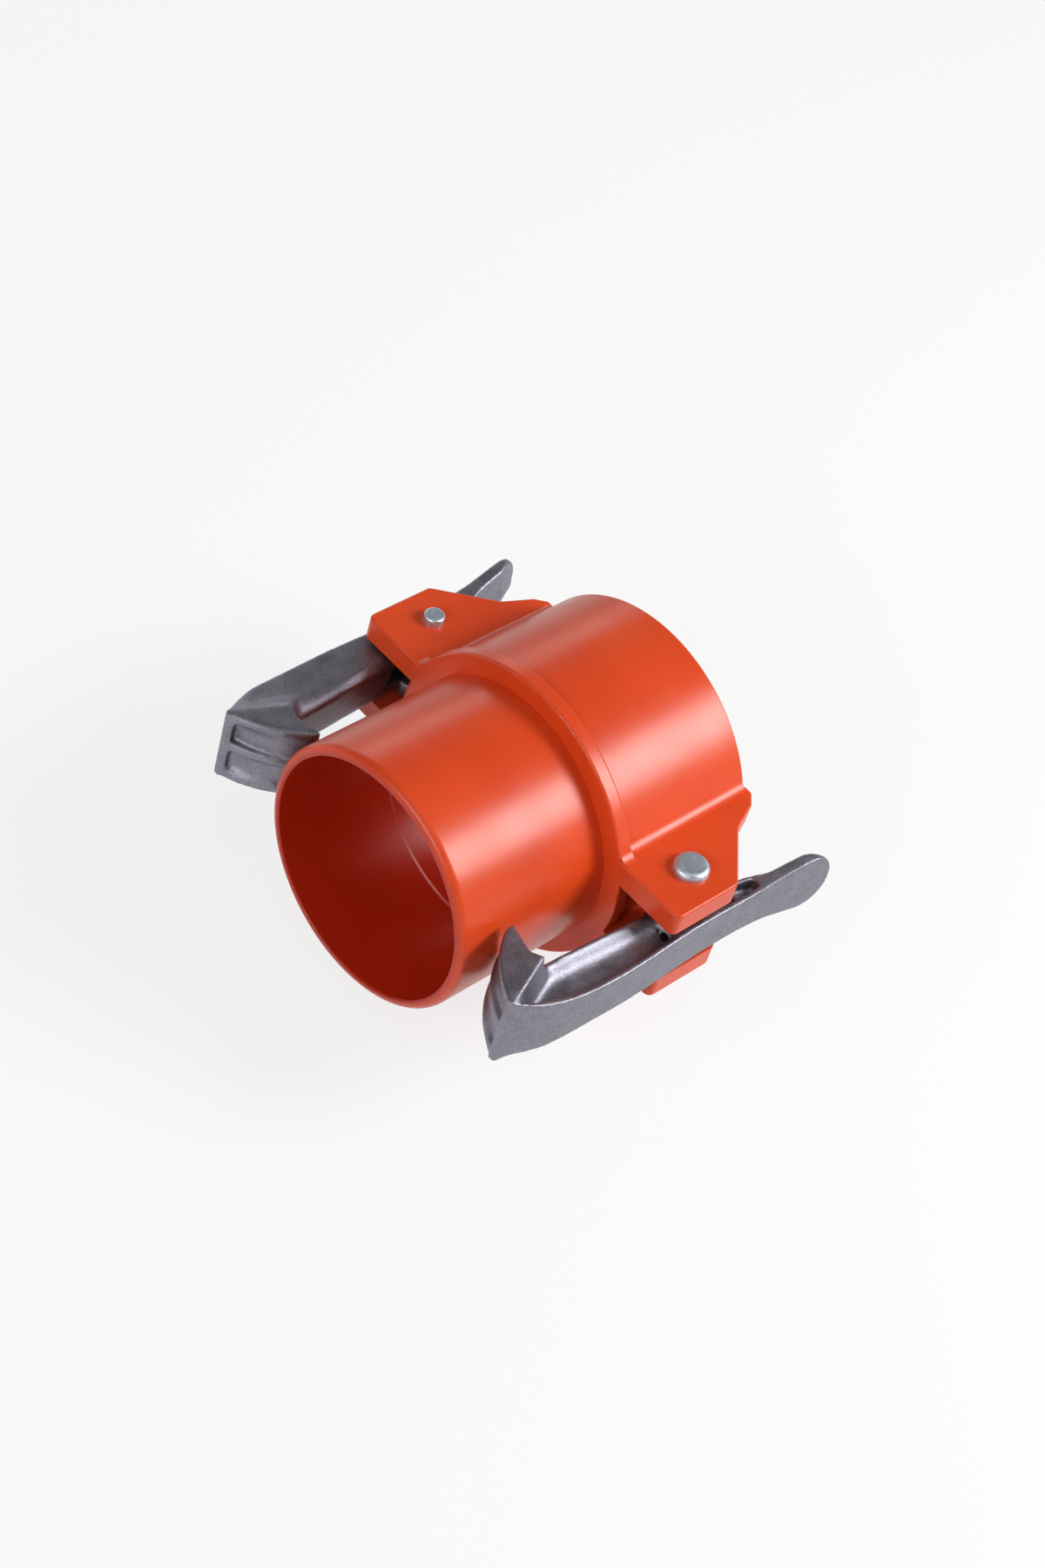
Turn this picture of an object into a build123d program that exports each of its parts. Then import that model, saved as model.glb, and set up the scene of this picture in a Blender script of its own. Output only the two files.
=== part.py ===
from build123d import *
import math
import os

# The latched end of a quick coupling for 75 mm irrigation pipe. Sizes are in millimetres.
# X runs along the pipe, out of the spigot's mouth. Z runs along the two hinge pins.
# The origin is on the pipe's axis, midway between the hinge pins.

# The pipe that the socket takes. The spigot is as thick as the pipe outside.
pipe_d = 75.0

# Spigot, the end that slides into the mating bell
spigot_wall = 3.1
spigot_length = 50.0
mouth_round = 2.4
mouth_inner_round = 0.6
core_step_depth = 0.5
core_step_from_shoulder = 12.0

# Socket, the end that is cemented on the pipe
socket_clearance = 0.15
socket_wall = 4.25
socket_depth = 44.0
socket_chamfer = 1.2
rim_round = 0.6

# Shoulder ring between the two ends
ring_height = 1.6
ring_width = 4.5
ring_round = 0.7
shoulder_from_pins = 15.0

# Ears, two above and two below the middle plane, each with a rib to the back rim
ear_gap = 18.8
ear_thickness = 7.1
ear_overhang = 10.6
ear_setback = 0.2
ear_back = 7.6
ear_slant = 14.3
ear_corner_round = 2.2
ear_edge_round = 0.7
ear_hollow_round = 6.0
ear_root_round = 4.0
ear_root_sink = 1.0
root_bite = 0.06
rib_height = 5.4
rib_nose = 2.6

# Hinge pins
pin_d = 6.0
pin_from_socket = 10.1
pin_head_d = 10.0
pin_head_height = 2.4
head_dome = 1.7
pin_tail_length = 2.6
pin_tail_round = 0.9

# Levers. Their top side is open, with a pocket between the outer wall and the rim on the
# pipe's side, and their bottom side is closed.
lever_running_clearance = 0.06
lever_side_clearance = 0.5
lever_wall = 2.0
lever_bulge = 12.2
lever_waist = 10.9
block_half = 6.0
closed_half = 7.8
closed_slope = 2.6
closed_drop = 1.8
rim_half = 7.0
rim_top = 1.3
rim_foot = 4.6
arm_inner_bulge = 0.3
web_half = 3.3
hub_r = 7.2
hub_front = 12.0
hub_back = 8.0
tail_reach = 45.5
tail_flare = 14.3
tail_half = 10.4
tail_edge_wall = 3.5
tail_ridge_wall = 6.0
tail_ridge_half = 0.6
neck_rim = 1.5

# Outline of a lever: shares of its reach in front of the pin or behind it, each with the
# bulge from the pin along Y, or with the height from the middle plane
front_bulges = ((0.85, 10.0), (0.64, 11.9), (0.42, lever_bulge))
rear_bulges = ((0.58, 12.1), (1.0, tail_flare))
open_front_heights = ((0.82, 9.2), (0.64, 7.5), (0.45, 7.0), (0.2, 6.9))
open_rear_heights = ((0.1, 6.2), (0.42, 7.0), (0.7, 9.6), (0.84, tail_half))
closed_front_heights = ((0.8, 8.9), (0.68, closed_half), (0.3, closed_half))
closed_rear_heights = ((0.2, closed_half), (0.55, 7.6), (0.72, 9.0), (0.84, 9.8))
tail_end_shape = (0.96, 6.4)
neck_inner_bulges = ((0.2, 2.6), (0.39, 4.8), (0.48, 6.0))
neck_end = (0.75, 10.4)
ridge_shape = ((0.45, 5.6), (0.8, 7.2), (0.96, 10.8))

# Jaws, at the front of the levers
jaw_back_from_shoulder = 34.5
jaw_tip_clearance = 0.7
jaw_tip_width = 2.4
jaw_length = 18.0
jaw_half = 12.0
jaw_corner_bulge = 5.4
jaw_undercut = 2.2
jaw_front_bulge = 2.4
throat_depth = 10.6
throat_round = 1.8
jaw_back_slant = 0.7
ramp_run = 3.4
closed_ramp_run = 9.0
ramp_corner_inset = 1.0
ramp_corner_rise = 0.4
groove_depth = 1.5
groove_inner = 1.6
groove_outer = 8.9
groove_end = 3.0

# Torsion springs
wire_d = 1.4
coil_r = 4.6
coil_pitch = 1.5
coil_turns = 2
leg_clearance = 0.3
fixed_leg_length = 17.0
moving_leg_length = 11.0
slot_clearance = 0.5
slot_end_room = 2.5

# Places worked out from the sizes above
spigot_r = pipe_d / 2
spigot_bore_r = spigot_r - spigot_wall
inner_bore_r = spigot_bore_r - core_step_depth
socket_bore_r = pipe_d / 2 + socket_clearance
socket_r = socket_bore_r + socket_wall
ring_r = socket_r + ring_height
shoulder_x = shoulder_from_pins
mouth_x = shoulder_x + spigot_length
core_step_x = shoulder_x + core_step_from_shoulder
stop_x = shoulder_x - ring_width
back_x = stop_x - socket_depth
pin_y = socket_r + pin_from_socket
ear_bottom = ear_gap / 2
ear_top = ear_bottom + ear_thickness
ear_y = pin_y + ear_overhang
hub_half = ear_bottom - lever_side_clearance
jaw_back_x = shoulder_x + jaw_back_from_shoulder
jaw_front_x = jaw_back_x + jaw_length
jaw_tip_y = spigot_r + jaw_tip_clearance
jaw_corner_y = pin_y + jaw_corner_bulge
throat_y = jaw_tip_y + throat_depth
arm_inner_y = pin_y + arm_inner_bulge
wall_inner_y = pin_y + lever_waist - lever_wall
far_y = pin_y + 2 * tail_flare
jaw_middle_bulge = jaw_front_bulge / math.sqrt(2)
coil_height = (coil_turns + 0.5) * coil_pitch + wire_d
leg_rise = moving_leg_length * coil_pitch / (2 * math.pi * coil_r)
slot_half = coil_height / 2 + leg_rise + slot_clearance


def polygon(*points):
    """A flat face with straight edges."""
    return make_face(Polyline(*points, close=True))


def between(face, bottom, top):
    """An upright solid on a flat face, from one height to another."""
    return Pos(0, 0, bottom) * extrude(face, top - bottom)


def both_sides(upper):
    """A solid above the middle plane, with its mirror image below."""
    return upper + mirror(upper, Plane.XY)


def rounded_polygon(points, rounds):
    """A flat face with straight edges, with the numbered corners rounded."""
    face = polygon(*points)
    for index, radius in rounds.items():
        spot = Vector(points[index][0], points[index][1], 0)
        corner = min(face.vertices(), key=lambda vertex: (Vector(*vertex) - spot).length)
        face = fillet(corner, radius)
    return face


def pipe_shell():
    """Spigot, shoulder ring and socket as one turned shell."""
    points = [
        (mouth_x, spigot_bore_r),
        (core_step_x, spigot_bore_r),
        (core_step_x - core_step_depth, inner_bore_r),
        (stop_x, inner_bore_r),
        (stop_x, socket_bore_r),
        (back_x + socket_chamfer, socket_bore_r),
        (back_x, socket_bore_r + socket_chamfer / 2),
        (back_x, socket_r),
        (stop_x, socket_r),
        (stop_x, ring_r),
        (shoulder_x, ring_r),
        (shoulder_x, spigot_r),
        (mouth_x, spigot_r),
    ]
    rounds = {0: mouth_inner_round, 7: rim_round, 9: ring_round, 10: ring_round, 12: mouth_round}
    return revolve(rounded_polygon(points, rounds), Axis.X, 360)


def ear_plate():
    """The upper ear on the +Y side, with the rib that runs back to the rim."""
    root_y = socket_bore_r
    front_x = shoulder_x - ear_setback
    back_height = rib_height - rib_nose / 2
    points = [
        (front_x, root_y),
        (front_x, ear_y),
        (-ear_back, ear_y),
        (-ear_back - ear_slant, ear_y - ear_slant),
        (back_x + rib_nose, root_y + rib_height + rib_nose / 2),
        (back_x, root_y + back_height),
        (back_x, root_y),
    ]
    rounds = {1: ear_corner_round, 2: ear_corner_round, 3: ear_hollow_round, 4: ear_edge_round}
    plate = extrude(rounded_polygon(points, rounds), ear_thickness)
    top_edges = plate.edges().group_by(Axis.Z)[-1]
    clear_edges = [edge for edge in top_edges if edge.center().Y > root_y + back_height]
    plate = fillet(clear_edges, ear_edge_round)
    return Pos(0, 0, ear_bottom) * plate


def root_round(wall_r, x_low, x_high):
    """The hollow round between an ear's top and the round wall that carries it."""
    centre_r = wall_r + ear_root_round
    centre_z = ear_top + ear_root_round
    centre_y = math.sqrt(centre_r ** 2 - centre_z ** 2)
    centre = Vector(centre_y, centre_z)
    arc_r = ear_root_round + root_bite
    to_wall = Vector(-centre_y, -centre_z).normalized()
    to_top = Vector(0, -1)
    on_wall = centre + to_wall * arc_r
    on_top = centre + to_top * arc_r
    half_way = centre + (to_wall + to_top).normalized() * arc_r
    heel = on_top + to_top * ear_root_sink
    foot = Vector(on_wall.X - ear_root_sink, heel.Y)
    outline = [
        ThreePointArc(on_wall, half_way, on_top),
        Line(on_top, heel),
        Line(heel, foot),
        Line(foot, on_wall),
    ]
    return extrude(Plane.YZ.offset(x_low) * make_face(outline), x_high - x_low)


def coupling_body():
    """The moulded body: shell, ears, ribs and their root rounds."""
    quarter = ear_plate()
    quarter += root_round(socket_r, back_x + rim_round, stop_x)
    quarter += root_round(ring_r, stop_x, shoulder_x - ring_round)
    half = both_sides(quarter)
    solid = pipe_shell() + half + mirror(half, Plane.XZ)
    for side in (1, -1):
        solid -= Pos(0, side * pin_y, 0) * Cylinder(pin_d / 2, 3 * ear_top)
    return solid


def hinge_pin():
    """The +Y hinge pin, with its domed head on top."""
    standing = (Align.CENTER, Align.CENTER, Align.MIN)
    bottom = -ear_top - pin_tail_length
    shaft = Pos(0, 0, bottom) * Cylinder(pin_d / 2, ear_top - bottom, align=standing)
    shaft = fillet(shaft.edges().group_by(Axis.Z)[0], pin_tail_round)
    head = Pos(0, 0, ear_top) * Cylinder(pin_head_d / 2, pin_head_height, align=standing)
    head = fillet(head.edges().group_by(Axis.Z)[-1], head_dome)
    return Pos(0, pin_y, 0) * (shaft + head)


def reached(reach, shape):
    """Points at shares of a reach along X, each with its own second value."""
    return [(reach * share, value) for share, value in shape]


def from_pin(points):
    """The same points, with their bulges counted from the pin."""
    return [(x, pin_y + bulge) for x, bulge in points]


def outer_points():
    """The lever's outer face seen from above, from the jaw's corner to the tail."""
    front = from_pin(reached(jaw_front_x, front_bulges))
    rear = from_pin(reached(-tail_reach, rear_bulges))
    return [(jaw_front_x, jaw_corner_y), *front, (0, pin_y + lever_waist), *rear]


def side_view():
    """The lever's outline from the side, as a solid that runs along Y."""
    upper = [
        (jaw_front_x, jaw_half),
        *reached(jaw_front_x, open_front_heights),
        *reached(-tail_reach, open_rear_heights),
    ]
    lower = [
        (jaw_front_x, jaw_half),
        *reached(jaw_front_x, closed_front_heights),
        *reached(-tail_reach, closed_rear_heights),
    ]
    lower = [(x, -z) for x, z in reversed(lower)]
    end_x, end_z = reached(-tail_reach, [tail_end_shape])[0]
    outline = [
        Spline(*upper),
        Spline(upper[-1], (end_x, end_z), (-tail_reach, 0), (end_x, -end_z), lower[0]),
        Spline(*lower),
        Line(lower[-1], upper[0]),
    ]
    return extrude(Plane.XZ * make_face(outline), far_y, both=True)


def inside_outer_face(depth):
    """What lies within the given depth of the outer face, as high as the side view allows."""
    outer = outer_points()
    inner = [(x, y - depth) for x, y in reversed(outer)]
    plan = make_face(
        [Spline(*outer), Line(outer[-1], inner[0]), Spline(*inner), Line(inner[-1], outer[0])]
    )
    return between(plan, -2 * jaw_half, 2 * jaw_half) & side_view()


def pipe_side_of_outer_face():
    """Everything on the pipe's side of the lever's outer face, up to the jaw's full height."""
    outer = outer_points()
    corners = [outer[-1], (-tail_reach, 0), (jaw_front_x, 0), outer[0]]
    face = make_face([Spline(*outer), Polyline(*corners)])
    return between(face, -jaw_half, jaw_half)


def jaw_plan(run):
    """The jaw seen from above, with its ramp side moved back by the given run."""
    tip_back = (jaw_back_x, jaw_tip_y)
    tip_front = (jaw_back_x + jaw_tip_width, jaw_tip_y)
    corner = (jaw_front_x, jaw_corner_y)
    middle = (
        (tip_front[0] + corner[0]) / 2 + jaw_middle_bulge,
        (tip_front[1] + corner[1]) / 2 - jaw_middle_bulge,
    )
    back = run * jaw_back_slant
    out = run / 2
    ramp_corner = (jaw_front_x - ramp_corner_inset - back, jaw_corner_y + ramp_corner_rise + out)
    root = (jaw_back_x - back, throat_y + throat_round + out)
    throat = (jaw_back_x + jaw_undercut, throat_y - throat_round)
    outline = [
        ThreePointArc(tip_front, middle, corner),
        Polyline(corner, ramp_corner, root, throat, tip_back, tip_front),
    ]
    return make_face(outline)


def ramped(low_face, high_face, bottom, top):
    """A solid whose plan changes evenly from one face to another between two heights."""
    return loft([Pos(0, 0, bottom) * low_face, Pos(0, 0, top) * high_face], ruled=True)


def jaw():
    """The full height wedge at the lever's front, with two grooves along its front face."""
    top = between(jaw_plan(ramp_run), 0, web_half)
    top += ramped(jaw_plan(ramp_run), jaw_plan(0), web_half, jaw_half)
    bottom = between(jaw_plan(closed_ramp_run), -rim_half, 0)
    bottom += ramped(jaw_plan(0), jaw_plan(closed_ramp_run), -jaw_half, -rim_half)
    return top + bottom - both_sides(front_groove())


def front_groove():
    """The channel along the jaw's front face above the middle ridge."""
    tip = Vector(jaw_back_x + jaw_tip_width, jaw_tip_y)
    corner = Vector(jaw_front_x, jaw_corner_y)
    along = (corner - tip).normalized()
    inward = Vector(-along.Y, along.X)
    start = tip - along * groove_end
    end = corner - along * groove_end
    middle = (tip + corner) * 0.5 - inward * jaw_front_bulge
    deep = inward * groove_depth
    outside = -3 * deep
    outline = [
        ThreePointArc(start + deep, middle + deep, end + deep),
        Polyline(end + deep, end + outside, start + outside, start + deep),
    ]
    return between(make_face(outline), groove_inner, groove_outer)


def rim_plan(width, room=0):
    """A strip along the arm's edge on the pipe's side, widened there by the given room."""
    front_x = jaw_back_x + jaw_undercut
    return polygon(
        (0, arm_inner_y - room),
        (front_x, throat_y - room),
        (front_x, throat_y + width),
        (0, arm_inner_y + width),
    )


def arm():
    """The arm between the jaw and the hub: the closed side, and the sloped rim of the pocket."""
    plan = polygon(
        (0, arm_inner_y),
        (jaw_back_x + jaw_undercut, throat_y),
        (jaw_front_x, jaw_corner_y),
        (jaw_front_x, far_y),
        (0, far_y),
    )
    rim = ramped(rim_plan(rim_foot), rim_plan(rim_top), web_half, rim_half)
    bevel = ramped(
        rim_plan(2 * closed_slope, closed_slope),
        rim_plan(0, closed_slope),
        -closed_half - closed_drop,
        -closed_half + closed_drop,
    )
    return between(plan, -jaw_half, web_half) + rim - bevel


def neck():
    """The closed side behind the hub, and the rim of the pocket above it."""
    edge = [(0, arm_inner_y), *from_pin(reached(-tail_reach, neck_inner_bulges))]
    end = from_pin(reached(-tail_reach, [neck_end]))[0]
    shifted = [(x, y + neck_rim) for x, y in reversed([*edge, end])]
    floor = between(polygon(*edge, end, (end[0], far_y), (0, far_y)), -jaw_half, web_half)
    return floor + between(polygon(*edge, end, *shifted), 0, rim_half)


def paddle():
    """The thick end of the tail, with a ridge along the side that faces the pipe."""
    ridge = from_pin(reached(-tail_reach, ridge_shape))
    edge = [(x, y + tail_ridge_wall - tail_edge_wall) for x, y in ridge]
    outer = [(ridge[-1][0], far_y), (ridge[0][0], far_y)]
    ridge_plan = polygon(*ridge, *outer)
    side = ramped(ridge_plan, polygon(*edge, *outer), tail_ridge_half, tail_half)
    return between(ridge_plan, -tail_ridge_half, tail_ridge_half) + both_sides(side)


def hub():
    """The boss on the hinge pin, and the block that ties it to the wall."""
    wall_y = wall_inner_y + lever_wall / 2
    boss = Pos(0, pin_y, 0) * Cylinder(hub_r, 2 * hub_half)
    block = polygon((-hub_back, pin_y), (hub_front, pin_y), (hub_front, wall_y), (-hub_back, wall_y))
    return boss + between(block, -block_half, block_half)


def spring_slot():
    """The slot through the hub that the spring lies in, open on the pipe's side."""
    low_y = pin_y - 2 * hub_r
    rear_x = -moving_leg_length - slot_end_room
    return between(
        polygon((rear_x, low_y), (hub_front, low_y), (hub_front, wall_inner_y), (rear_x, wall_inner_y)),
        -slot_half,
        slot_half,
    )


def lever():
    """The die-cast latch lever on the +Y side."""
    solid = (arm() + neck() + paddle()) & inside_outer_face(pin_y)
    solid += hub()
    solid += inside_outer_face(lever_wall)
    solid += jaw() & pipe_side_of_outer_face()
    solid -= spring_slot()
    solid -= Pos(0, pin_y, 0) * Cylinder(pin_d / 2 + lever_running_clearance, 3 * hub_half)
    return solid


def leg_angle(length, reach):
    """The turn, in degrees, that brings a leg of the given length out to the given reach."""
    return math.degrees(math.asin(reach / math.hypot(coil_r, length)) - math.atan2(coil_r, length))


def torsion_spring():
    """The spring on the +Y pin: one leg on the socket, one on the lever's wall."""
    socket_reach = pin_from_socket - wire_d / 2 - leg_clearance
    wall_reach = lever_waist - lever_wall - wire_d / 2 - leg_clearance
    start = -90 + leg_angle(fixed_leg_length, socket_reach)
    end = 90 - leg_angle(moving_leg_length, wall_reach)
    turn = 360 * coil_turns + end - start
    rise = coil_pitch * turn / 360
    coil = Rot(0, 0, start) * Helix(coil_pitch, rise, coil_r)
    first, last = coil @ 0, coil @ 1
    into = (coil % 0).normalized()
    out = (coil % 1).normalized()
    legs = Line(first - into * fixed_leg_length, first), Line(last, last + out * moving_leg_length)
    path = Wire([legs[0], *coil.edges(), legs[1]])
    section = Plane(origin=path @ 0, z_dir=path % 0) * Circle(wire_d / 2)
    return Pos(0, pin_y, -rise / 2) * sweep(section, path)


def turned_half(solid):
    """The same piece on the other side of the pipe, turned half way round its axis."""
    return Rot(180, 0, 0) * solid


if __name__ == "__main__":
    os.makedirs("parts", exist_ok=True)
    export_step(coupling_body(), "parts/coupling_body.step")
    for name, make in (("hinge_pin", hinge_pin), ("latch_lever", lever), ("torsion_spring", torsion_spring)):
        piece = make()
        export_step(piece, f"parts/{name}_right.step")
        export_step(turned_half(piece), f"parts/{name}_left.step")
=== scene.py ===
import math

import bpy
from mathutils import Euler, Matrix, Vector


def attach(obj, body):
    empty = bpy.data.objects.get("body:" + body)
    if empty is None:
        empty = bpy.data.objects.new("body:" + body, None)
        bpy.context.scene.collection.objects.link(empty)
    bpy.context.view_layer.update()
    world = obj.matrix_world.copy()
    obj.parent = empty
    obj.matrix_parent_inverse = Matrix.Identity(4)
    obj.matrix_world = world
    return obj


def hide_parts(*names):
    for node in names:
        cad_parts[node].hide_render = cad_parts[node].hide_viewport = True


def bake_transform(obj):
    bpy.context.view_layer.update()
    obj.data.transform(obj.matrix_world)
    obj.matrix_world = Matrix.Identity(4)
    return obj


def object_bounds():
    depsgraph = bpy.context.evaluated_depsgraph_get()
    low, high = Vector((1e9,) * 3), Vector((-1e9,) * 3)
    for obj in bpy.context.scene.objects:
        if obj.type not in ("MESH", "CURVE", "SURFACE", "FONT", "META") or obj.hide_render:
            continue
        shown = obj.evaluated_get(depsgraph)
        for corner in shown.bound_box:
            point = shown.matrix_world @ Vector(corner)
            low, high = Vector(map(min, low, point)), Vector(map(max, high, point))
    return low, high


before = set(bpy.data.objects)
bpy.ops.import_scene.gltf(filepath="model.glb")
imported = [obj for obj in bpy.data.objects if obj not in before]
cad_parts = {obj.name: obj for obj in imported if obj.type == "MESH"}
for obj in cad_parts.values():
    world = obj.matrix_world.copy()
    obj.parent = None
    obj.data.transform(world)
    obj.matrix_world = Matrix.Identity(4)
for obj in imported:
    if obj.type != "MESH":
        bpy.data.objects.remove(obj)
cad_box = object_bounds()

# Lengths are in metres. A colour is red, green and blue, in linear light. A noise is its scale,
# its detail and its roughness, and limits are the part of its range over which something changes.

# Camera: the viewer's bearings in degrees, the distance, how far the frame's origin lies right of
# and below the line of sight, and the focal length in pixels of a picture of the given height
VIEW_AZIMUTH = 35.21
VIEW_HEIGHT = 45.9
VIEW_ROLL = -17.58
VIEW_DISTANCE = 0.8548
VIEW_RIGHT = 0.0062
VIEW_DOWN = -0.0003
VIEW_FOCAL = 3636
PICTURE_HEIGHT = 1800
SENSOR_HEIGHT_MM = 36
VIEW_NEAR = 0.01
VIEW_FAR = 50

# Lamps: the way from the object to each one, its distance, its size and its power in watts
KEY_WAY = (-0.57, 0.60, 0.57)
KEY_DISTANCE = 1.0
KEY_SIZE = (0.46, 0.40)
KEY_POWER = 8.5
TOP_WAY = (0.1, 0.15, 1.0)
TOP_DISTANCE = 1.5
TOP_SIZE = (1.2, 1.2)
TOP_POWER = 2.0
FRONT_WAY = (1.0, 0.05, 0.50)
FRONT_DISTANCE = 1.3
FRONT_SIZE = (1.0, 0.45)
FRONT_POWER = 6.5
SIDE_WAY = (-0.45, -0.85, 0.35)
SIDE_DISTANCE = 1.2
SIDE_SIZE = (0.7, 0.25)
SIDE_POWER = 1.2

# Room light: its brightness at the horizon and overhead, and where between them it stops changing
SKY_HORIZON = 0.40
SKY_TOP = 0.16
SKY_CHANGE = (0.0, 0.8)

# Floor: its width, the grey that light bounces from, and the grey and the glow that are seen
FLOOR_SIZE = 8.0
FLOOR_GREY = 0.62
FLOOR_DIFFUSE = 0.19
FLOOR_GLOW = 0.78

# Orange plastic: the two oranges of its flow marks, and the painted shade of the bore, a deep red standing
# in for the shadow inside it, with its share there
ORANGE_DARK = (0.64, 0.047, 0.006)
ORANGE_LIGHT = (0.84, 0.086, 0.015)
BORE_PAINTED_SHADE = (0.40, 0.006, 0.0015)
BORE_SHADE_SHARES = (0.75, 0)
# The bore's painted shade gives way to the outside's colour between these distances from the pipe's axis,
# which are measured across it
BORE_EDGE = (0.0350, 0.0366)
ACROSS_PIPE = (0, 1, 1)
FLOW_NOISE = (38, 2, 0.5)
GLOSS_NOISE = (110, 2, 0.5)
GLOSS_LIMITS = (0.2, 0.8)
GLOSS_ROUGHNESS = (0.285, 0.345)
WAVE_NOISE = (55, 2, 0.5)
WAVE_STRENGTH = 0.08
WAVE_HEIGHT = 0.0012
PLASTIC_IOR = 1.46

# Cast aluminium: a cloudy skin, a fine dark grain, and small pits
CAST_DARK = (0.26, 0.255, 0.30)
CAST_LIGHT = (0.37, 0.36, 0.42)
CAST_GRAIN = (0.13, 0.13, 0.155)
CLOUD_NOISE = (160, 5, 0.6)
CLOUD_COLOUR_LIMITS = (0.32, 0.68)
CLOUD_GLOSS_LIMITS = (0.3, 0.7)
CLOUD_ROUGHNESS = (0.40, 0.52)
CLOUD_STRENGTH = 0.3
CLOUD_HEIGHT = 0.0005
GRAIN_NOISE = (1900, 4, 0.7)
GRAIN_LIMITS = (0.38, 0.62)
GRAIN_SHARES = (0.55, 0)
GRAIN_STRENGTH = 0.5
GRAIN_HEIGHT = 0.00014
PIT_NOISE = (1300, 4, 0.7)
PIT_LIMITS = (0.58, 0.72)
PIT_ROUGHNESS = 0.12
PIT_STRENGTH = -0.5
PIT_DEPTH = 0.00012

# Plated steel: faint spangles and a fine grain
ZINC_DARK = (0.44, 0.54, 0.62)
ZINC_LIGHT = (0.66, 0.74, 0.80)
ZINC_LIMITS = (0.3, 0.7)
ZINC_ROUGHNESS = (0.36, 0.5)
ZINC_METALLIC = 0.85
SPANGLE_NOISE = (900, 4, 0.6)
DULL_NOISE = (400, 4, 0.5)
ZINC_GRAIN_NOISE = (4200, 3, 0.5)
ZINC_GRAIN_STRENGTH = 0.3
ZINC_GRAIN_HEIGHT = 0.0001

# Spring wire
WIRE_DARK = (0.20, 0.20, 0.21)
WIRE_LIGHT = (0.36, 0.36, 0.38)
WIRE_NOISE = (1500, 4, 0.6)
WIRE_LIMITS = (0.3, 0.7)
WIRE_ROUGHNESS = (0.3, 0.45)

METAL = 1.0
FROM_NONE_TO_ALL = (0, 1)

# Where a Mix node keeps its colours, because its sockets of other kinds have the same names
MIX_COLOURS = (6, 7)
MIX_RESULT = 2

# Castings: the grain of their mesh, the turn in radians that sets it askew to their long edges,
# and how near two points are to be joined
LEVER_VOXEL = 0.00036
GRID_TURN = (0.6, 0.5, 0.4)
WELD_REACH = 0.00001

# Castings: how many times the edges and the hollows are smoothed, how far each time, and how wide
# the hollows' smoothing fades
EDGE_SMOOTHING = 18
HOLLOW_SMOOTHING = 90
SMOOTHING_STEP = 0.5
HOLLOW_FADE = 0.0025

# Hollows of the +Y casting: limits along the pipe, across it and in height
POCKET = ((0.012, 0.064), (0.040, 0.0600), (0.0033, 0.0058))
JAW_RAMP = ((0.044, 0.064), (0.046, 0.0575), (0.0033, 0.0085))
CLOSED_RAMP = ((0.034, 0.064), (0.040, 0.0600), (-0.0105, -0.0070))
HOLLOWS = (POCKET, JAW_RAMP, CLOSED_RAMP)

# Castings: the width and depth of the waves in their skin, and the level of the waves that stays
CAST_WAVE = 0.008
CAST_DEPTH = 0.00010
CAST_LEVEL = 0.75

# Torsion springs, as in the solids. The reaches are those of the socket's outside and of the
# lever's wall from the pin's axis, and the legs stay clear of both by the gap.
PIN_Y = 0.052
WIRE_R = 0.0007
COIL_R = 0.0046
COIL_PITCH = 0.0015
COIL_TURNS = 2
LEG_GAP = 0.0003
SOCKET_REACH = 0.0101
WALL_REACH = 0.0089
FIXED_LEG = 0.017
MOVING_LEG = 0.011

# Points in one turn of a spring's coil, and corners round its wire
COIL_STEPS = 28
WIRE_SIDES = 14


def view_axes():
    """The picture's right, down and forward directions."""
    azimuth = math.radians(VIEW_AZIMUTH)
    height = math.radians(VIEW_HEIGHT)
    roll = math.radians(VIEW_ROLL)
    along_floor = Vector((math.cos(azimuth), math.sin(azimuth), 0))
    towards = math.cos(height) * along_floor + math.sin(height) * Vector((0, 0, 1))
    forward = -towards
    level = forward.cross(Vector((0, 0, 1))).normalized()
    drop = forward.cross(level)
    right = math.cos(roll) * level + math.sin(roll) * drop
    down = -math.sin(roll) * level + math.cos(roll) * drop
    return right, down, forward


def add_camera():
    """A camera at the photograph's viewing angle."""
    right, down, forward = view_axes()
    data = bpy.data.cameras.new("view")
    data.sensor_fit = "VERTICAL"
    data.sensor_height = SENSOR_HEIGHT_MM
    data.lens = VIEW_FOCAL / PICTURE_HEIGHT * SENSOR_HEIGHT_MM
    data.clip_start = VIEW_NEAR
    data.clip_end = VIEW_FAR
    camera = bpy.data.objects.new("view", data)
    bpy.context.scene.collection.objects.link(camera)
    place = -(right * VIEW_RIGHT + down * VIEW_DOWN + forward * VIEW_DISTANCE)
    turn = Matrix((right, -down, -forward)).transposed()
    camera.matrix_world = Matrix.Translation(place) @ turn.to_4x4()
    bpy.context.scene.camera = camera


def add_lamp(name, way, distance, size, power):
    """A soft rectangular lamp that shines on the object from the given way."""
    data = bpy.data.lights.new(name, "AREA")
    data.shape = "RECTANGLE"
    data.size, data.size_y = size
    data.energy = power
    lamp = bpy.data.objects.new(name, data)
    bpy.context.scene.collection.objects.link(lamp)
    lamp.location = Vector(way).normalized() * distance
    lamp.rotation_euler = (-lamp.location).to_track_quat("-Z", "Y").to_euler()


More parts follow.
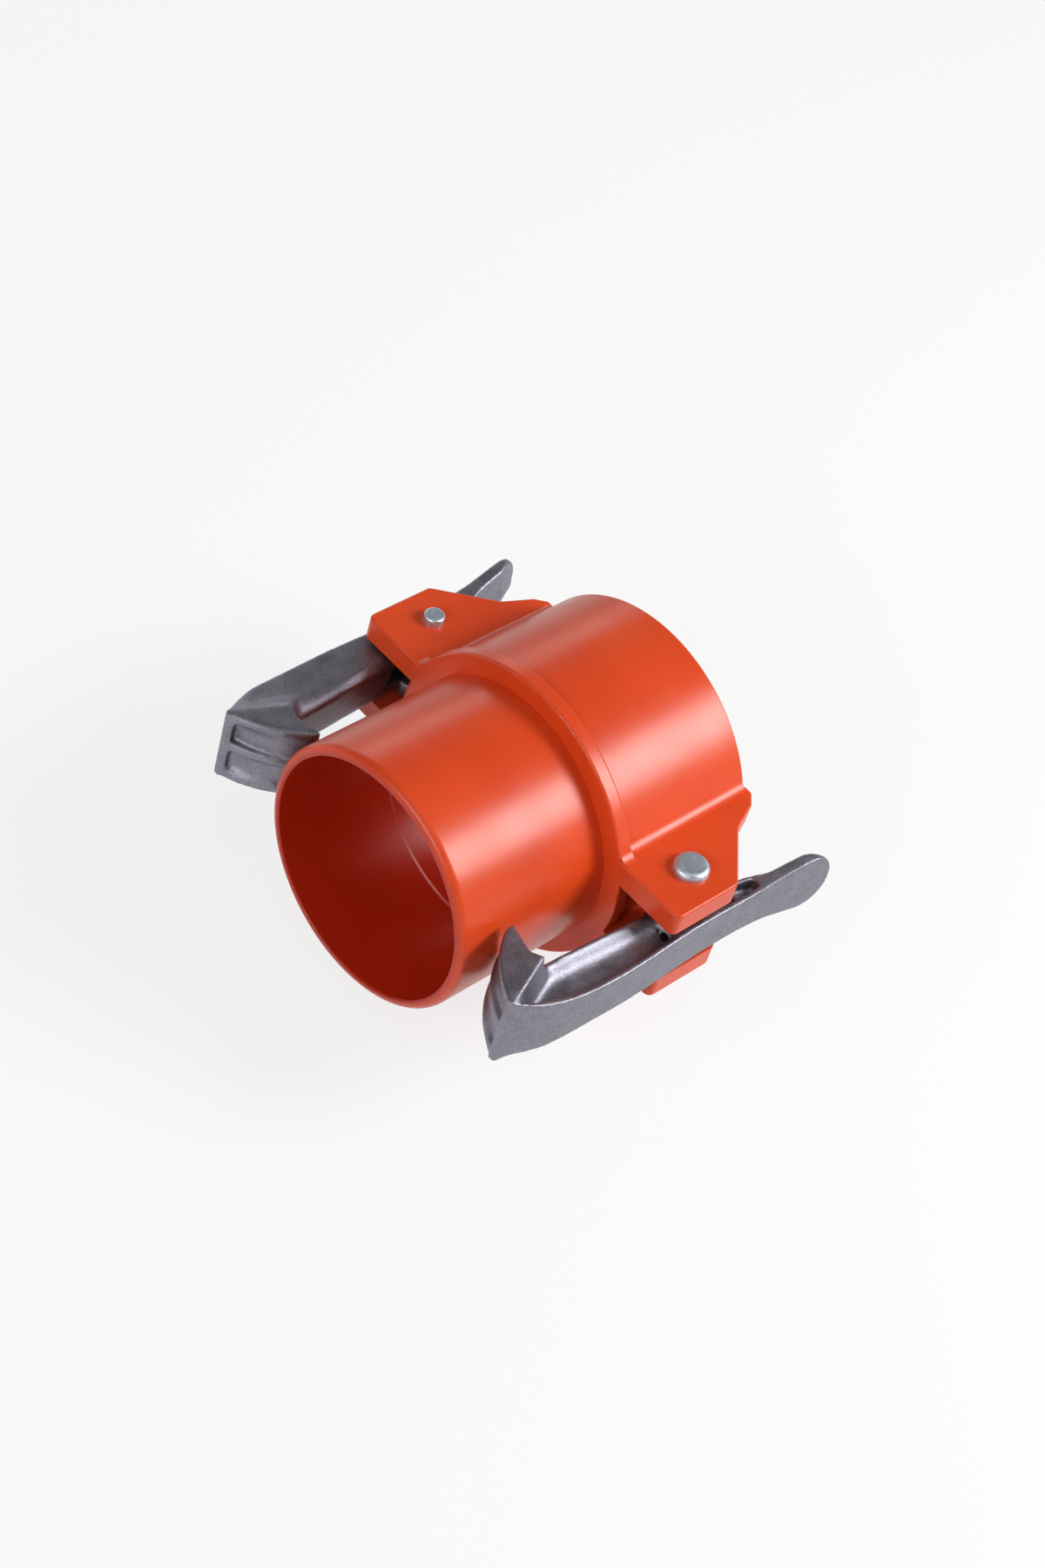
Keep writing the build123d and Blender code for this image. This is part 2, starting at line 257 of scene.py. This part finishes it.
class Shader:
    """A small helper that adds nodes to one tree and links them."""

    def __init__(self, tree):
        self.tree = tree
        tree.nodes.clear()

    def feed(self, socket, value):
        """Links a socket to another one, or gives it a value of its own."""
        if isinstance(value, bpy.types.NodeSocket):
            self.tree.links.new(value, socket)
        else:
            socket.default_value = value

    def node(self, kind, inputs=None, **settings):
        node = self.tree.nodes.new(kind)
        for key, value in settings.items():
            setattr(node, key, value)
        for key, value in (inputs or {}).items():
            self.feed(node.inputs[key], value)
        return node

    def place(self):
        return self.node("ShaderNodeTexCoord").outputs["Object"]

    def noise(self, scale, detail, roughness):
        inputs = {"Vector": self.place(), "Scale": scale, "Detail": detail, "Roughness": roughness}
        return self.node("ShaderNodeTexNoise", inputs).outputs["Fac"]

    def spread(self, value, limits, results):
        """The first result below the limits, the second above them, and an even change between."""
        names = ("From Min", "From Max", "To Min", "To Max")
        inputs = {"Value": value, **dict(zip(names, (*limits, *results)))}
        return self.node("ShaderNodeMapRange", inputs, clamp=True).outputs["Result"]

    def mix(self, share, first, second):
        """A mix of two colours, with the given share of the second."""
        node = self.node("ShaderNodeMix", {"Factor": share}, data_type="RGBA")
        for index, colour in zip(MIX_COLOURS, (first, second)):
            linked = isinstance(colour, bpy.types.NodeSocket)
            self.feed(node.inputs[index], colour if linked else (*colour, 1))
        return node.outputs[MIX_RESULT]

    def maths(self, operation, first, second):
        node = self.node("ShaderNodeMath", operation=operation)
        for socket, value in zip(node.inputs, (first, second)):
            self.feed(socket, value)
        return node.outputs[0]

    def bump(self, height, strength, distance, under=None):
        inputs = {"Height": height, "Strength": strength, "Distance": distance}
        if under:
            inputs["Normal"] = under
        return self.node("ShaderNodeBump", inputs).outputs["Normal"]

    def finish(self, surface):
        self.node("ShaderNodeOutputMaterial", {"Surface": surface})

    def finish_principled(self, inputs):
        self.finish(self.node("ShaderNodeBsdfPrincipled", inputs).outputs["BSDF"])


def new_material(name):
    material = bpy.data.materials.new(name)
    material.use_nodes = True
    return material, Shader(material.node_tree)


def orange_plastic():
    """Glossy injection moulded plastic, with faint flow marks, and painted shade in the bore, a deeper red.
    """
    material, shader = new_material("orange_moulding")
    colour = shader.mix(shader.noise(*FLOW_NOISE), ORANGE_DARK, ORANGE_LIGHT)
    parts = {0: shader.place(), 1: ACROSS_PIPE}
    across = shader.node("ShaderNodeVectorMath", parts, operation="MULTIPLY").outputs[0]
    radius = shader.node("ShaderNodeVectorMath", {0: across}, operation="LENGTH").outputs["Value"]
    # Painted shade: inside the bore the colour turns a deeper red, as if in shadow.
    colour = shader.mix(shader.spread(radius, BORE_EDGE, BORE_SHADE_SHARES), colour, BORE_PAINTED_SHADE)
    rough = shader.spread(shader.noise(*GLOSS_NOISE), GLOSS_LIMITS, GLOSS_ROUGHNESS)
    waves = shader.bump(shader.noise(*WAVE_NOISE), WAVE_STRENGTH, WAVE_HEIGHT)
    shader.finish_principled({"Base Color": colour, "Roughness": rough, "Normal": waves, "IOR": PLASTIC_IOR})
    return material


def cast_aluminium():
    """Die-cast aluminium with a fine grain and a cloudy skin."""
    material, shader = new_material("cast_aluminium")
    clouds = shader.noise(*CLOUD_NOISE)
    grain = shader.noise(*GRAIN_NOISE)
    pits = shader.spread(shader.noise(*PIT_NOISE), PIT_LIMITS, FROM_NONE_TO_ALL)
    cloudy = shader.spread(clouds, CLOUD_COLOUR_LIMITS, FROM_NONE_TO_ALL)
    colour = shader.mix(cloudy, CAST_DARK, CAST_LIGHT)
    colour = shader.mix(shader.spread(grain, GRAIN_LIMITS, GRAIN_SHARES), colour, CAST_GRAIN)
    cloud_rough = shader.spread(clouds, CLOUD_GLOSS_LIMITS, CLOUD_ROUGHNESS)
    rough = shader.maths("ADD", cloud_rough, shader.maths("MULTIPLY", pits, PIT_ROUGHNESS))
    skin = shader.bump(clouds, CLOUD_STRENGTH, CLOUD_HEIGHT)
    skin = shader.bump(grain, GRAIN_STRENGTH, GRAIN_HEIGHT, skin)
    skin = shader.bump(pits, PIT_STRENGTH, PIT_DEPTH, skin)
    shader.finish_principled({"Base Color": colour, "Roughness": rough, "Normal": skin, "Metallic": METAL})
    return material


def plated_steel():
    """Zinc plated steel, dull and faintly blue."""
    material, shader = new_material("plated_steel")
    spangles = shader.spread(shader.noise(*SPANGLE_NOISE), ZINC_LIMITS, FROM_NONE_TO_ALL)
    colour = shader.mix(spangles, ZINC_DARK, ZINC_LIGHT)
    rough = shader.spread(shader.noise(*DULL_NOISE), ZINC_LIMITS, ZINC_ROUGHNESS)
    skin = shader.bump(shader.noise(*ZINC_GRAIN_NOISE), ZINC_GRAIN_STRENGTH, ZINC_GRAIN_HEIGHT)
    inputs = {"Base Color": colour, "Roughness": rough, "Normal": skin, "Metallic": ZINC_METALLIC}
    shader.finish_principled(inputs)
    return material


def spring_wire():
    """Drawn spring wire, dark and lightly mottled."""
    material, shader = new_material("spring_wire")
    mottling = shader.noise(*WIRE_NOISE)
    colour = shader.mix(shader.spread(mottling, WIRE_LIMITS, FROM_NONE_TO_ALL), WIRE_DARK, WIRE_LIGHT)
    rough = shader.spread(mottling, WIRE_LIMITS, WIRE_ROUGHNESS)
    shader.finish_principled({"Base Color": colour, "Roughness": rough, "Metallic": METAL})
    return material


def grey(level):
    return (level, level, level, 1)


def pale_floor():
    """A plain pale floor that keeps a light shadow."""
    material, shader = new_material("pale_floor")
    rays = shader.node("ShaderNodeLightPath").outputs
    mirrored = shader.maths("MAXIMUM", rays["Is Glossy Ray"], rays["Is Transmission Ray"])
    seen = shader.maths("MAXIMUM", rays["Is Camera Ray"], mirrored)
    plain = shader.node("ShaderNodeBsdfDiffuse", {"Color": grey(FLOOR_GREY)}).outputs[0]
    dim = shader.node("ShaderNodeBsdfDiffuse", {"Color": grey(FLOOR_DIFFUSE)}).outputs[0]
    glow = shader.node("ShaderNodeEmission", {"Color": grey(1), "Strength": FLOOR_GLOW}).outputs[0]
    lit = shader.node("ShaderNodeAddShader", {0: dim, 1: glow}).outputs[0]
    shader.finish(shader.node("ShaderNodeMixShader", {0: seen, 1: plain, 2: lit}).outputs[0])
    return material


def add_floor():
    """The floor that the object lies on."""
    low = cad_box[0][2]
    half = FLOOR_SIZE / 2
    corners = [(-half, -half, low), (half, -half, low), (half, half, low), (-half, half, low)]
    mesh = bpy.data.meshes.new("floor")
    mesh.from_pydata(corners, [], [(0, 1, 2, 3)])
    floor = bpy.data.objects.new("floor", mesh)
    mesh.materials.append(pale_floor())
    bpy.context.scene.collection.objects.link(floor)


def add_sky():
    """A soft room light, darker overhead than at the horizon."""
    world = bpy.data.worlds.new("room")
    world.use_nodes = True
    bpy.context.scene.world = world
    shader = Shader(world.node_tree)
    way = shader.node("ShaderNodeTexCoord").outputs["Generated"]
    up = shader.node("ShaderNodeSeparateXYZ", {"Vector": way}).outputs["Z"]
    level = shader.spread(up, SKY_CHANGE, (SKY_HORIZON, SKY_TOP))
    sky = shader.node("ShaderNodeBackground", {"Color": level, "Strength": 1.0})
    shader.node("ShaderNodeOutputWorld", {"Surface": sky.outputs[0]})


def set_material(piece, material):
    """Gives the piece one material in all its slots."""
    if not piece.material_slots:
        piece.data.materials.append(material)
    for slot in piece.material_slots:
        slot.material = material


def faded(value, limits):
    """1 between two limits, falling to 0 within a short way outside them."""
    low, high = limits
    return max(0.0, min(1.0, 1 + (value - low) / HOLLOW_FADE, 1 + (high - value) / HOLLOW_FADE))


def hollow_weight(place):
    """How far a point of the +Y casting belongs to the hollows, from 0 to 1."""
    return max(min(faded(value, limits) for value, limits in zip(place, box)) for box in HOLLOWS)


def smooth_over(piece, rounds, group=""):
    """Adds so many rounds of smoothing to the piece, or to one group of its points."""
    smooth = piece.modifiers.new("smooth", "SMOOTH")
    smooth.vertex_group = group
    smooth.factor = SMOOTHING_STEP
    smooth.iterations = rounds


def soften_hollows(piece, sign):
    """Rounds the pocket's corners and the ramp on the closed side widely, as the casting does."""
    group = piece.vertex_groups.new(name="hollows")
    for vertex in piece.data.vertices:
        x, y, z = vertex.co
        weight = hollow_weight((x, sign * y, sign * z))
        if weight > 0:
            group.add([vertex.index], weight, "REPLACE")
    smooth_over(piece, HOLLOW_SMOOTHING, group.name)


def settle(piece):
    """Applies the piece's modifiers to its mesh."""
    bpy.context.view_layer.update()
    graph = bpy.context.evaluated_depsgraph_get()
    mesh = bpy.data.meshes.new_from_object(piece.evaluated_get(graph))
    piece.modifiers.clear()
    piece.data = mesh


def even_mesh(piece):
    """Gives the piece an even mesh, on a grid that stands askew to all of its long edges."""
    askew = Euler(GRID_TURN).to_matrix().to_4x4()
    piece.data.transform(askew)
    remesh = piece.modifiers.new("remesh", "REMESH")
    remesh.mode = "VOXEL"
    remesh.voxel_size = LEVER_VOXEL
    settle(piece)
    piece.data.transform(askew.inverted())


def add_skin(piece, side):
    """Adds the low waves of a cast skin to the piece."""
    clouds = bpy.data.textures.new(f"cast_{side}", "CLOUDS")
    clouds.noise_scale = CAST_WAVE
    uneven = piece.modifiers.new("uneven", "DISPLACE")
    uneven.texture = clouds
    uneven.strength = CAST_DEPTH
    uneven.mid_level = CAST_LEVEL


def cast_lever(side, sign, material):
    """A casting with softened edges that stands for the lever's solid."""
    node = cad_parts[f"latch_lever_{side}"]
    piece = bpy.data.objects.new(f"cast_lever_{side}", node.data.copy())
    bpy.context.scene.collection.objects.link(piece)
    weld = piece.modifiers.new("weld", "WELD")
    weld.merge_threshold = WELD_REACH
    settle(piece)
    even_mesh(piece)
    soften_hollows(piece, sign)
    settle(piece)
    even_mesh(piece)
    soften_hollows(piece, sign)
    smooth_over(piece, EDGE_SMOOTHING)
    add_skin(piece, side)
    settle(piece)
    for polygon in piece.data.polygons:
        polygon.use_smooth = True
    set_material(piece, material)
    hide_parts(f"latch_lever_{side}")
    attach(piece, f"lever_{side}")


def leg_turn(length, reach):
    """The turn that brings a leg of the given length out to the given reach."""
    return math.asin(reach / math.hypot(COIL_R, length)) - math.atan2(COIL_R, length)


def spring_path():
    """The wire's middle line on the +Y side: a leg, the coil, and a leg."""
    start = -math.pi / 2 + leg_turn(FIXED_LEG, SOCKET_REACH - WIRE_R - LEG_GAP)
    end = math.pi / 2 - leg_turn(MOVING_LEG, WALL_REACH - WIRE_R - LEG_GAP)
    turn = math.tau * COIL_TURNS + end - start
    steps = int(COIL_STEPS * turn / math.tau)
    coil = []
    for step in range(steps + 1):
        share = step / steps
        angle = start + share * turn
        height = COIL_PITCH * turn / math.tau * (share - 0.5)
        coil.append(Vector((COIL_R * math.cos(angle), PIN_Y + COIL_R * math.sin(angle), height)))
    into = Vector((-math.sin(start), math.cos(start), 0))
    out = Vector((-math.sin(end), math.cos(end), 0))
    return [coil[0] - into * FIXED_LEG, *coil, coil[-1] + out * MOVING_LEG]


def wire_mesh(name, path):
    """A round wire along a path, with flat ends."""
    vertices = []
    faces = []
    side = None
    for index, point in enumerate(path):
        ahead = path[min(index + 1, len(path) - 1)]
        behind = path[max(index - 1, 0)]
        along = (ahead - behind).normalized()
        side = (side - along * side.dot(along)).normalized() if side else along.orthogonal().normalized()
        up = along.cross(side)
        for corner in range(WIRE_SIDES):
            angle = math.tau * corner / WIRE_SIDES
            vertices.append(point + WIRE_R * (math.cos(angle) * side + math.sin(angle) * up))
    for ring in range(len(path) - 1):
        low = ring * WIRE_SIDES
        high = low + WIRE_SIDES
        for corner in range(WIRE_SIDES):
            other = (corner + 1) % WIRE_SIDES
            faces.append((low + corner, low + other, high + other, high + corner))
    ends = [tuple(reversed(range(WIRE_SIDES))), tuple(range(len(vertices) - WIRE_SIDES, len(vertices)))]
    mesh = bpy.data.meshes.new(name)
    mesh.from_pydata([tuple(vertex) for vertex in vertices], [], faces + ends)
    for polygon in mesh.polygons[:len(faces)]:
        polygon.use_smooth = True
    return mesh


def add_spring(side, sign, material):
    """The torsion spring on one hinge pin, built at rest with its fixed leg and its moving leg."""
    path = [Vector((point.x, sign * point.y, sign * point.z)) for point in spring_path()]
    piece = bpy.data.objects.new(f"wire_spring_{side}", wire_mesh(f"wire_spring_{side}", path))
    bpy.context.scene.collection.objects.link(piece)
    set_material(piece, material)
    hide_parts(f"torsion_spring_{side}")
    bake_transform(piece)


bpy.context.scene.view_settings.view_transform = "Standard"
add_camera()
add_lamp("key", KEY_WAY, KEY_DISTANCE, KEY_SIZE, KEY_POWER)
add_lamp("top", TOP_WAY, TOP_DISTANCE, TOP_SIZE, TOP_POWER)
add_lamp("front", FRONT_WAY, FRONT_DISTANCE, FRONT_SIZE, FRONT_POWER)
add_lamp("side", SIDE_WAY, SIDE_DISTANCE, SIDE_SIZE, SIDE_POWER)
add_sky()
add_floor()

aluminium = cast_aluminium()
steel = plated_steel()
wire = spring_wire()
set_material(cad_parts["coupling_body"], orange_plastic())
for side, sign in (("right", 1), ("left", -1)):
    set_material(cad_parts[f"hinge_pin_{side}"], steel)
    cast_lever(side, sign, aluminium)
    add_spring(side, sign, wire)
